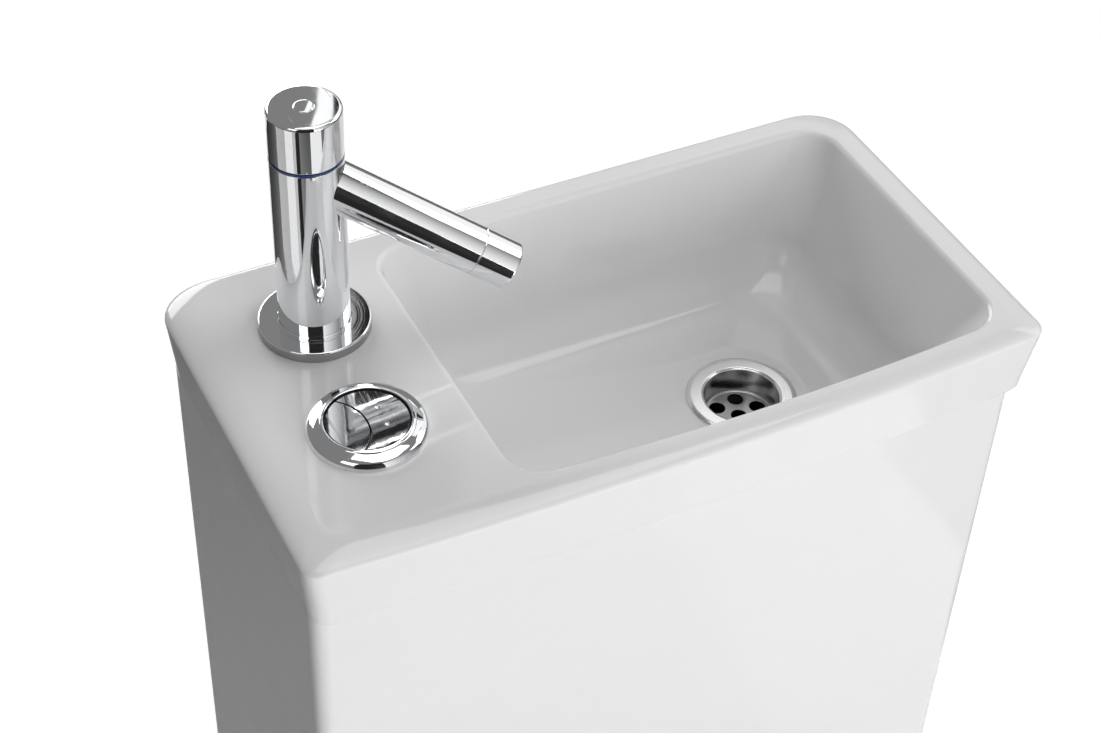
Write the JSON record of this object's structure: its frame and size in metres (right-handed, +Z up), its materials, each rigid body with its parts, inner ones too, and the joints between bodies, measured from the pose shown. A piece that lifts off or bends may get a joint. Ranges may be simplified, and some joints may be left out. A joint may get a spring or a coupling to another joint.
{
  "type": "toilet",
  "caption": "Close-coupled toilet whose cistern top is a hand basin with a single tap, a grid waste and a dual flush button; hinged seat and lid.",
  "frame": {"origin": "on the floor, under the middle of the whole unit", "axes": "+Z up, -Y towards the front of the pan, +X to the right as seen from the front"},
  "size_m": [0.5, 0.713, 1.0556],
  "materials": {
    "ceramic": "white glaze",
    "chrome": "bright plated",
    "plated_plastic": "bright plated",
    "white_plastic": "gloss",
    "blue_plastic": "matt",
    "blue_ring": "gloss",
    "grey_rubber": "matt",
    "red_rubber": "matt",
    "pale_rubber": "matt",
    "steel": "zinc plated",
    "brass": "machined",
    "grey_plastic": "matt",
    "braid": "braided"
  },
  "bodies": {
    "base": {"pan": "ceramic", "pan_foot": "ceramic", "cistern": "ceramic", "basin": "ceramic", "basin_gasket": "grey_rubber", "doughnut_seal": "grey_rubber", "cistern_bolt_left": "steel", "cistern_bolt_right": "steel", "bolt_washer_left": "grey_rubber", "bolt_washer_right": "grey_rubber", "wing_nut_left": "steel", "wing_nut_right": "steel", "flush_valve_body": "white_plastic", "flush_valve_head": "blue_plastic", "flush_backnut": "white_plastic", "cable_half": "grey_plastic", "cable_full": "grey_plastic", "button_collar": "plated_plastic", "button_housing": "white_plastic", "button_nut": "white_plastic", "spring_half": "steel", "spring_full": "steel", "tap_base": "chrome", "tap_body": "chrome", "tap_index_ring": "blue_ring", "tap_cartridge": "brass", "tap_spout": "chrome", "aerator_sleeve": "chrome", "aerator_insert": "grey_plastic", "tap_shank": "brass", "tap_nut": "steel", "tap_hose": "braid", "tap_inlet": "brass", "tap_inlet_nut": "white_plastic", "waste_body": "chrome", "waste_gasket": "grey_rubber", "waste_nut": "white_plastic", "drain_pipe": "grey_plastic", "fill_valve": "white_plastic", "fill_valve_nut": "white_plastic", "hinge_post_left": "chrome", "hinge_post_right": "chrome", "hinge_nut_left": "white_plastic", "hinge_nut_right": "white_plastic"},
    "tap_handle": {"tap_knob": "chrome", "tap_knob_plug": "chrome"},
    "half_button": {"plate_half": "plated_plastic"},
    "full_button": {"plate_full": "plated_plastic"},
    "flush_lift": {"overflow_tube": "white_plastic", "flush_seal": "red_rubber"},
    "half_flush_catch": {"half_catch": "blue_plastic"},
    "inlet_float": {"fill_valve_float": "grey_plastic"},
    "inlet_lever": {"fill_valve_lever": "blue_plastic"},
    "seat_body": {"seat": "white_plastic", "seat_foot_front_left": "pale_rubber", "seat_foot_front_right": "pale_rubber", "seat_foot_back_left": "pale_rubber", "seat_foot_back_right": "pale_rubber"},
    "lid_body": {"lid": "white_plastic", "lid_feet": "pale_rubber"}
  },
  "joints": [
    {"name": "tap_turn", "type": "hinge", "parent": "base", "child": "tap_handle", "pos_m": [-0.168, 0.2865, 1.03], "axis": [0, 0, 1], "range_deg": [0, 90]},
    {"name": "half_press", "type": "slide", "parent": "base", "child": "half_button", "axis": [0, 0, -1], "range_m": [0, 0.007], "stiffness_N_per_m": 500, "springref_m": -0.008, "deforming": ["spring_half"]},
    {"name": "full_press", "type": "slide", "parent": "base", "child": "full_button", "axis": [0, 0, -1], "range_m": [0, 0.007], "stiffness_N_per_m": 800, "springref_m": -0.008, "deforming": ["spring_full"]},
    {"name": "seal_rise", "type": "slide", "parent": "base", "child": "flush_lift", "axis": [0, 0, 1], "range_m": [0, 0.0175]},
    {"name": "catch_drop", "type": "slide", "parent": "base", "child": "half_flush_catch", "axis": [0, 0, -1], "range_m": [0, 0.007]},
    {"name": "float_drop", "type": "slide", "parent": "base", "child": "inlet_float", "axis": [0, 0, 1], "range_m": [-0.01, 0], "stiffness_N_per_m": 30, "springref_m": 0.04},
    {"name": "lever_tilt", "type": "hinge", "parent": "base", "child": "inlet_lever", "pos_m": [0.202, 0.2665, 0.698], "axis": [0, 1, 0], "range_deg": [-16.5, 0]},
    {"name": "seat_raise", "type": "hinge", "parent": "base", "child": "seat_body", "pos_m": [0, 0.0335, 0.422], "axis": [-1, 0, 0], "range_deg": [0, 97]},
    {"name": "lid_raise", "type": "hinge", "parent": "seat_body", "child": "lid_body", "pos_m": [0, 0.0335, 0.422], "axis": [1, 0, 0], "range_deg": [-97, 0]}
  ],
  "couplings": [
    {"joint": "seal_rise", "follows": "full_press", "ratio": 2.5},
    {"joint": "catch_drop", "follows": "half_press", "ratio": 1},
    {"joint": "lever_tilt", "follows": "float_drop", "rad_per_m": 28.571}
  ]
}
